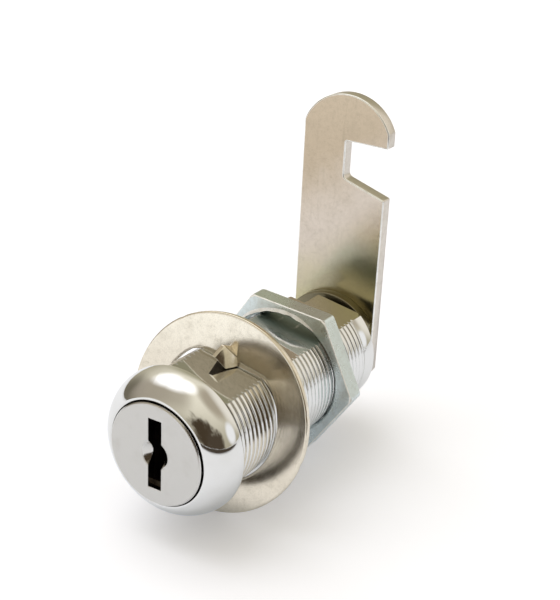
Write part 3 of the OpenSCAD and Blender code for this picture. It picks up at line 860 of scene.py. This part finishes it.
def split_ring_surface(n, front, back):
    """A rounded rectangle carried round most of a turn, rising as it goes."""
    a = np.linspace(n.ring_gap / 2, TURN - n.ring_gap / 2, 97)
    half_rise = n.ring_rise / 2
    section = rounded_box(n.ring_in, n.ring_out, front + half_rise, back - half_rise, n.ring_edge)
    return swept_surface(section, a, (a / TURN - 0.5) * n.ring_rise * 0.98)


# Points of the cam's round foot; odd, so that the middle one is straight below the hole
FOOT_POINTS = 49


def cam_outline(c):
    """Outline of the cam in X and Z, once round from the foot: sides, notch, hook and round tip."""
    half = c.half_w
    foot = math.acos(half / c.foot_r)
    tip = math.acos(half / c.tip_r)
    top = c.reach - c.hook_h
    bottom = top - c.notch_h
    inner = half - c.notch_depth
    mouth = (half, bottom - c.notch_depth * math.tan(c.notch_slope))
    low_in, high_in, hook = (inner, bottom), (inner, top), (half, top)
    foot_right = (half, -c.foot_r * math.sin(foot))
    hook_side = (half, c.reach - c.tip_r + c.tip_r * math.sin(tip))
    return np.concatenate([
        arc((0, 0), c.foot_r, math.pi + foot, TURN - foot, FOOT_POINTS),
        bend(foot_right, mouth, low_in, c.outer_round),
        bend(mouth, low_in, high_in, c.low_round),
        bend(low_in, high_in, hook, c.high_round),
        bend(high_in, hook, hook_side, c.outer_round),
        arc((0, c.reach - c.tip_r), c.tip_r, tip, math.pi - tip, 65),
    ])


def inset(outline, distance):
    """An outline moved inwards along the mean normal of the edges that meet at each point."""
    edges = np.roll(outline, -1, axis=0) - outline
    edges = edges / np.linalg.norm(edges, axis=1, keepdims=True)
    normals = np.stack([-edges[:, 1], edges[:, 0]], axis=-1)
    mean = normals + np.roll(normals, 1, axis=0)
    mean = mean / np.sum(mean * normals, axis=1, keepdims=True)
    return outline + mean * distance


def cam_surface(c):
    """The outline carried through the plate along an edge profile, with a square hole, and closed by
    two faces on each side that meet from the foot to the hole and from the hole to the tip. Gives
    points, faces and, by face, 0 on the plate's sides, 1 on sheared and 2 on rolled edges."""
    outline = cam_outline(c)
    count = len(outline)
    roll = arc((c.roll_r, c.front_y + c.roll_r), c.roll_r, 3 * QUARTER, 2 * QUARTER, 6)
    burr = arc((c.burr_r, c.back_y - c.burr_r), c.burr_r, 2 * QUARTER, QUARTER, 3)
    profile = np.concatenate([roll, burr])
    h = c.hole_half
    hole = np.array([(-h, h), (h, h), (h, -h), (0, -h), (-h, -h)])
    rows = [(inset(outline, d), y) for d, y in profile] + [(hole, c.front_y), (hole, c.back_y)]
    points = np.concatenate([np.insert(row, Y, y, axis=1) for row, y in rows])
    walls = len(profile) * count
    faces = grid_quads(len(profile), count).tolist() + (grid_quads(2, len(hole)) + walls).tolist()
    rolled = (len(roll) - 1) * count
    shares = [2] * rolled + [1] * (len(faces) - rolled)
    foot = FOOT_POINTS // 2
    right = (range(foot, count), range(4))
    left = ((count - 1, *range(foot + 1)), (3, 4, 0))
    for ring, square in ((0, walls), (walls - count, walls + len(hole))):
        for outer, inner in (right, left):
            faces.append([ring + i for i in outer] + [square + i for i in inner])
            shares.append(0)
    return points, faces, shares


def stop_plate_surface(c, front, back, tab_front):
    """A disc with two straight sides, rounded edges and a square hole, and a tab bent about the
    axis."""
    count = 8 * 23
    a = np.arange(count) * TURN / count
    hole = box_limit(a, c.hole_half, c.hole_half)
    limit = np.minimum(c.stop_r, flat_limit(a, c.stop_half, 0))
    rings = [(hole, back), *rim_rings(limit, back, front, c.stop_edge, 4), (hole, front)]
    disc, disc_faces = turned_surface(rings, a)
    t = np.linspace(c.tab_angle - c.tab_span / 2, c.tab_angle + c.tab_span / 2, 9)
    block = rounded_box(c.tab_in_r, c.stop_r, tab_front, back - 0.01 * MM, c.stop_edge)
    tab, tab_faces = swept_surface(block, t, start=len(rings) * count)
    points = np.concatenate([disc.reshape(-1, 3), tab.reshape(-1, 3)])
    return points, disc_faces.tolist() + tab_faces


# Height in the washer's hole, as a share of its upper flat's height, where the lip starts
LIP_START = 0.86
# Nicks in the washer's rim: where they are, in radians, how wide and how deep
NICKS = ((-0.10, 0.035, 1.0), (0.42, 0.02, 0.6), (2.3, 0.03, 0.5), (4.4, 0.04, 0.8))


def washer_surface(w):
    """A ring section carried round: a hole with two flats, rounded edges and a nicked rim."""
    count = 240
    a = np.arange(count) * TURN / count
    hole = np.minimum(w.hole_r, flat_limit(a, w.hole_flat, QUARTER))
    nicks = np.zeros_like(a)
    for place, width, depth in NICKS:
        off = (a - place + math.pi) % TURN - math.pi
        nicks += depth * np.exp(-((off / width) ** 2))
    rim = w.radius - w.nick * nicks
    e = w.edge
    up = np.sin(a) * w.hole_r / w.hole_flat
    front_hole = hole - w.lip * np.clip((up - LIP_START) / (1 - LIP_START), 0, 1)
    rings = [(hole, w.thickness - 0.5 * e), (front_hole, 0.5 * e), (front_hole + 0.5 * e, 0)]
    rings += [(hole + (rim - e - hole) * s, 0) for s in (0.08, 0.3, 0.6, 0.97)]
    rings += [*rim_rings(rim, 0, w.thickness, e, 5), (hole + 0.5 * e, w.thickness)]
    return turned_surface(rings, a)


def spur_surface(w):
    """A tooth in front of the washer: a face that looks forwards to the right, a side that falls
    away to the washer, and a facet from the top down to the nose. Gives points, faces and, by
    face, 1 on the three faces of the underside, painted dark as shade, and 0 elsewhere."""
    lean = math.tan(w.lean)
    base = w.spur_base
    toe_y = base * lean - w.spur_reach
    nose_y = toe_y - w.spur_nose_lead
    top_y = toe_y + w.spur_top_lag
    nose_z, top_z = base + w.spur_nose_h, base + w.spur_h
    left, right = w.spur_x - w.spur_w / 2, w.spur_x + w.spur_w / 2

    def root(x, z):
        """A point of the spur's root, halfway into the leaning washer."""
        return [x, z * lean + w.thickness / 2, z]

    points = np.array([
        root(left, base), root(right, base), [w.spur_toe_x, toe_y, base],
        [w.spur_nose_x, nose_y, nose_z], [w.spur_nose_x - w.spur_facet, nose_y, nose_z],
        [w.spur_top_x, top_y, top_z], [w.spur_top_x - w.spur_facet, top_y, top_z],
        root(w.spur_top_x, base + w.spur_back_h), root(right - w.spur_side_in, base + w.spur_side_h),
    ])
    seen = [
        [0, 1, 8, 7], [1, 2, 8], [8, 2, 5], [8, 5, 7], [2, 3, 5], [5, 3, 4, 6],
        [5, 6, 7], [6, 4, 0], [6, 0, 7],
    ]
    # The underside, painted dark as shade
    under = [[0, 4, 3], [0, 3, 2], [0, 2, 1]]
    return points, seen + under, [0] * len(seen) + [1] * len(under)


class CAMLOCK_OT_housing(bpy.types.Operator):
    """Makes the chromed housing: domed head, threaded barrel with flats, collar and bore"""

    bl_idname = "camlock.housing"
    bl_label = "Housing"

    def execute(self, context):
        shell = housing_surface(settings().housing)
        make_piece("housing_shell", shell, "housing", "chrome_plate", ["housing"], sharp=42)
        return {"FINISHED"}


class CAMLOCK_OT_face(bpy.types.Operator):
    """Makes the satin face cap with its key slot, and the threaded end of the stud"""

    bl_idname = "camlock.face"
    bl_label = "Face cap and stud"

    def execute(self, context):
        f = settings().face
        make_piece("face_cap_disc", cap_surface(f), "plug", "satin_cap", ["face_cap"], sharp=24)
        stud = stud_surface(f, high("cam_nut", Y) - SLEEVE_IN)
        make_piece("stud_end", stud, "plug", "plug_zinc", finishes=["zinc_nut"])
        return {"FINISHED"}


class CAMLOCK_OT_cam(bpy.types.Operator):
    """Makes the hooked cam and the stop plate in front of it"""

    bl_idname = "camlock.cam"
    bl_label = "Cam and stop plate"

    def execute(self, context):
        c = settings().cam
        # The cam's rolled edges take a near-white finish: a painted highlight
        finishes = ["nickel_cam", "sheared_edge", "rolled_edge"]
        make_piece("cam_hook", cam_surface(c), "plug", "nickel_cam", ["cam"], finishes=finishes)
        stop = stop_plate_surface(c, c.front_y - c.stop_t, c.front_y, low("stop_plate", Y))
        make_piece("stop_disc", stop, "plug", "stop_steel", ["stop_plate"])
        return {"FINISHED"}


class CAMLOCK_OT_nuts(bpy.types.Operator):
    """Makes the mounting nut, the cam nut and the split spring washer under it"""

    bl_idname = "camlock.nuts"
    bl_label = "Nuts and spring washer"

    def execute(self, context):
        n = settings().nuts
        # The nuts' front edges and burr get the near-white edge finish: wear and a painted highlight
        look = {"sharp": 32, "finishes": ["zinc_nut", "worn_edge"]}
        sizes = (n.mount_af, n.mount_bore, n.mount_pitch, n.mount_turn, n.mount_chamfer)
        nut = nut_surface(n, *sizes, *span("mounting_nut"))
        make_piece("mounting_hex", nut, "mounting_nut", "zinc_nut", ["mounting_nut"], **look)
        sizes = (n.cam_af, n.cam_bore, n.cam_pitch, 0.0, n.cam_chamfer)
        nut = nut_surface(n, *sizes, *span("cam_nut"))
        make_piece("cam_hex", nut, "plug", "zinc_nut", ["cam_nut"], **look)
        ring = split_ring_surface(n, *span("spring_washer"))
        make_piece("split_ring", ring, "plug", "spring_steel", ["spring_washer"])
        return {"FINISHED"}


class CAMLOCK_OT_washer(bpy.types.Operator):
    """Makes the loose panel washer and the spur that stands on it"""

    bl_idname = "camlock.washer"
    bl_label = "Panel washer"

    def execute(self, context):
        w = settings().washer
        roll = Matrix.Rotation(settings().housing.flat_roll, 4, "Y")
        place = Matrix.Translation((0, w.middle_y, 0)) @ roll
        lean = Matrix.Translation((0, 0, w.lift)) @ Matrix.Rotation(-w.lean, 4, "X")
        ring = moved(washer_surface(w), place @ lean)
        make_piece("washer_ring", ring, "panel_washer", "nickel_washer", ["panel_washer"], sharp=50)
        tooth = moved(spur_surface(w), place)
        # The spur's underside takes the dark plug finish: painted shade
        finishes = ["nickel_washer", "plug_zinc"]
        spur = make_piece("washer_spur", tooth, "panel_washer", "nickel_washer", finishes=finishes)
        bevel = spur.modifiers.new("Rounded edges", "BEVEL")
        bevel.width = w.spur_round
        bevel.segments = 3
        return {"FINISHED"}


class CAMLOCK_OT_inside(bpy.types.Operator):
    """Gives the plug, the wafers and their springs, which stay as solids, their finishes"""

    bl_idname = "camlock.inside"
    bl_label = "Plug, wafers and springs"

    def execute(self, context):
        finishes = {"plug": "plug_zinc", "wafer_spring_": "spring_steel", "wafer_": "wafer_brass"}
        for name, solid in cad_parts.items():
            kind = next((k for k in finishes if name.startswith(k)), None)
            if kind:
                for slot in solid.material_slots:
                    slot.material = finish(finishes[kind])
        return {"FINISHED"}


def heading(azimuth, height):
    """Unit vector at an azimuth from the front to the right and a height over the horizon."""
    level = math.cos(height)
    return Vector((math.sin(azimuth) * level, -math.cos(azimuth) * level, math.sin(height)))


def aim_camera(s, aim):
    """Camera at the photo's viewing angle: turned, raised and rolled about its aim."""
    back = heading(s.azimuth, s.elevation)
    level = Vector((math.cos(s.azimuth), math.sin(s.azimuth), 0))
    upright = back.cross(level)
    right = math.cos(s.roll) * level + math.sin(s.roll) * upright
    up = math.cos(s.roll) * upright - math.sin(s.roll) * level
    place = Matrix((right, up, back)).transposed().to_4x4()
    place.translation = aim + back * s.distance
    camera = bpy.data.objects.new("camera", bpy.data.cameras.new("camera"))
    camera.data.lens = s.lens
    camera.data.sensor_width = SENSOR_WIDTH
    camera.data.clip_start = 5 * MM
    camera.matrix_world = place
    bpy.context.scene.collection.objects.link(camera)
    bpy.context.scene.camera = camera


def soft_light(s, aim):
    """A square soft light that faces the aim; mirrors show the room instead of it."""
    data = bpy.data.lights.new("key", "AREA")
    data.energy = s.key_watts
    data.size = s.key_size
    lamp = bpy.data.objects.new("key", data)
    direction = heading(s.key_azimuth, s.key_height)
    lamp.location = aim + direction * s.key_distance
    lamp.rotation_mode = "QUATERNION"
    lamp.rotation_quaternion = (-direction).to_track_quat("-Z", "Y")
    lamp.visible_glossy = False
    bpy.context.scene.collection.objects.link(lamp)


class Patch(NamedTuple):
    """A part of the room: where it is, how wide it is in full and faded, all in degrees."""

    azimuth: float
    height: float
    full: float
    faded: float
    colour: tuple = WHITE
    share: float = 1.0


WALLS = (
    Patch(-84, -2, 8, 40, (0.17, 0.15, 0.11), 0.95),
    Patch(-58, 32, 8, 36, (0.42, 0.37, 0.30), 0.9),
    Patch(122, 54, 12, 32, (0.48, 0.42, 0.32)),
    Patch(152, 28, 14, 36, (0.95, 0.90, 0.80)),
    Patch(109, 13, 8, 17),
    Patch(-28, 2, 10, 24, (1.0, 0.98, 0.94)),
    Patch(-40, 52, 12, 42, (0.46, 0.41, 0.32), 0.85),
    Patch(-162, 28, 10, 30, (0.44, 0.41, 0.28)),
)
DARK_SIDE = (
    Patch(34, 16, 14, 30, (0.07, 0.05, 0.03)),
    Patch(60, 4, 14, 28, (0.08, 0.06, 0.04)),
)
WINDOW = (Patch(-93, 60, 0, 28), Patch(-84, 70, 0, 28), Patch(-100, 80, 0, 24))


def room_light(s):
    """A room by direction: olive walls, a dark side behind the camera, bright parts, a window."""
    world = bpy.data.worlds.new("room")
    world.use_nodes = True
    world.node_tree.nodes.clear()
    bpy.context.scene.world = world
    wire = Wire(world.node_tree)
    view = wire.node("TexCoord", out="Generated")
    rise = wire.axes(view)[Z]
    ragged = (wire.noise(view, 5.0, 4.0) - 0.5) * 0.18

    def amount(patch, shift=0.0):
        """1 within a patch, 0 outside its faded edge; the shift moves the edge."""
        azimuth, height, full, faded = (math.radians(value) for value in patch[:4])
        toward = wire.measure("DOT_PRODUCT", view, heading(azimuth, height)) + shift
        return toward.between(math.cos(faded), math.cos(full)) * patch.share

    tone = wire.mix(s.wall_low, s.wall_high, rise.between(-0.1, 1.15))
    tone = wire.layers(tone, [(patch.colour, amount(patch)) for patch in WALLS])
    tone = wire.layers(tone, [(patch.colour, amount(patch, ragged)) for patch in DARK_SIDE])
    window = amount(WINDOW[0])
    for patch in WINDOW[1:]:
        window = wire.math("MAXIMUM", window, amount(patch))
    camera_ray = wire.node("LightPath", out="Is Camera Ray")
    tone = wire.mix(tone, WHITE, wire.math("MAXIMUM", window, camera_ray))
    level = 1 + window * (s.window_level - 1)
    light = wire.node("Background", {}, {"Color": tone, "Strength": level})
    wire.node("OutputWorld", {}, {"Surface": light})


# Parts of the floor: azimuth in degrees and distance of the middle, then the radius that is full
# and the radius where it has faded, in metres
NEAR_FLOOR = (0, 0, 0.12, 0.5)
FAR_LIGHT = (-32, 0.36, 0.1, 0.2)
DARK_FLOOR = (60, 0.9, 0.69, 0.79)


def floor_finish(s):
    """Matt white floor. The camera sees it a little brighter, so that it is white; mirrors see a
    bright part far to the front left and a dark part far to the front right."""
    made, wire, place = new_finish("floor_white")
    rays = ("Is Camera Ray", "Is Glossy Ray", "Is Transmission Ray")
    camera_ray, glossy_ray, clear_ray = wire.split("LightPath", rays)

    def spot(azimuth, distance, full, faded):
        """1 near a place on the floor, given from the lock, 0 far from it."""
        middle = heading(math.radians(azimuth), 0) * distance
        return 1 - wire.measure("DISTANCE", place, middle).between(full, faded)

    matt = wire.node("BsdfDiffuse", {}, {"Color": rgba(s.floor_colour)})
    mirrored = s.floor_mirror + spot(*FAR_LIGHT) * s.floor_far
    seen = s.floor_glow + (1 - spot(*NEAR_FLOOR)) * s.floor_haze
    glow = (camera_ray + clear_ray) * seen + glossy_ray * mirrored
    cool = wire.mix(WHITE, s.floor_cool, glossy_ray)
    light = wire.node("Emission", {}, {"Color": cool, "Strength": glow})
    lit = wire.node("AddShader", {}, {0: matt, 1: light})
    shade = wire.node("Emission", {}, {"Color": rgba(s.floor_dark)})
    dark = glossy_ray * spot(*DARK_FLOOR)
    both = wire.node("MixShader", {}, {0: dark, 1: lit, 2: shade})
    wire.node("OutputMaterial", {}, {"Surface": both})
    return made


class CAMLOCK_OT_stage(bpy.types.Operator):
    """Makes the camera, the floor, the soft light and the room around the lock"""

    bl_idname = "camlock.stage"
    bl_label = "Stage"

    def execute(self, context):
        s = settings().stage
        context.scene.view_settings.view_transform = "Standard"
        aim = Vector((s.aim_x, s.aim_y, s.aim_z))
        aim_camera(s, aim)
        reach = s.floor_reach
        level = CAD_BOX[0][Z]
        mesh = bpy.data.meshes.new("floor")
        signs = ((-1, -1), (1, -1), (1, 1), (-1, 1))
        mesh.from_pydata([(u * reach, v * reach, level) for u, v in signs], [], [(0, 1, 2, 3)])
        mesh.materials.append(floor_finish(s))
        floor = bpy.data.objects.new("floor", mesh)
        context.scene.collection.objects.link(floor)
        soft_light(s, aim)
        room_light(s)
        return {"FINISHED"}


class CAMLOCK_PT_panel(bpy.types.Panel):
    """Lists the steps that build the cam lock"""

    bl_idname = "CAMLOCK_PT_panel"
    bl_label = "Cam lock"
    bl_space_type = "VIEW_3D"
    bl_region_type = "UI"
    bl_category = "Cam lock"

    def draw(self, context):
        for step in STEPS:
            self.layout.operator(step.bl_idname)


STEPS = (
    CAMLOCK_OT_housing, CAMLOCK_OT_face, CAMLOCK_OT_cam, CAMLOCK_OT_nuts,
    CAMLOCK_OT_washer, CAMLOCK_OT_inside, CAMLOCK_OT_stage,
)
GROUPS = (
    HousingSizes, FaceSizes, CamSizes, NutSizes, WasherSizes,
    FinishColours, StageSizes, CamLockSettings,
)
CLASSES = (*GROUPS, *STEPS, CAMLOCK_PT_panel)


def register():
    """Registers the classes and puts the settings on the scene."""
    for kind in CLASSES:
        bpy.utils.register_class(kind)
    bpy.types.Scene.cam_lock = PointerProperty(type=CamLockSettings)


def unregister():
    """Takes the settings and the classes away again."""
    del bpy.types.Scene.cam_lock
    for kind in reversed(CLASSES):
        bpy.utils.unregister_class(kind)


def main():
    """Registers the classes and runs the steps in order."""
    register()
    for step in STEPS:
        group, name = step.bl_idname.split(".")
        getattr(getattr(bpy.ops, group), name)()


if __name__ == "__main__":
    main()
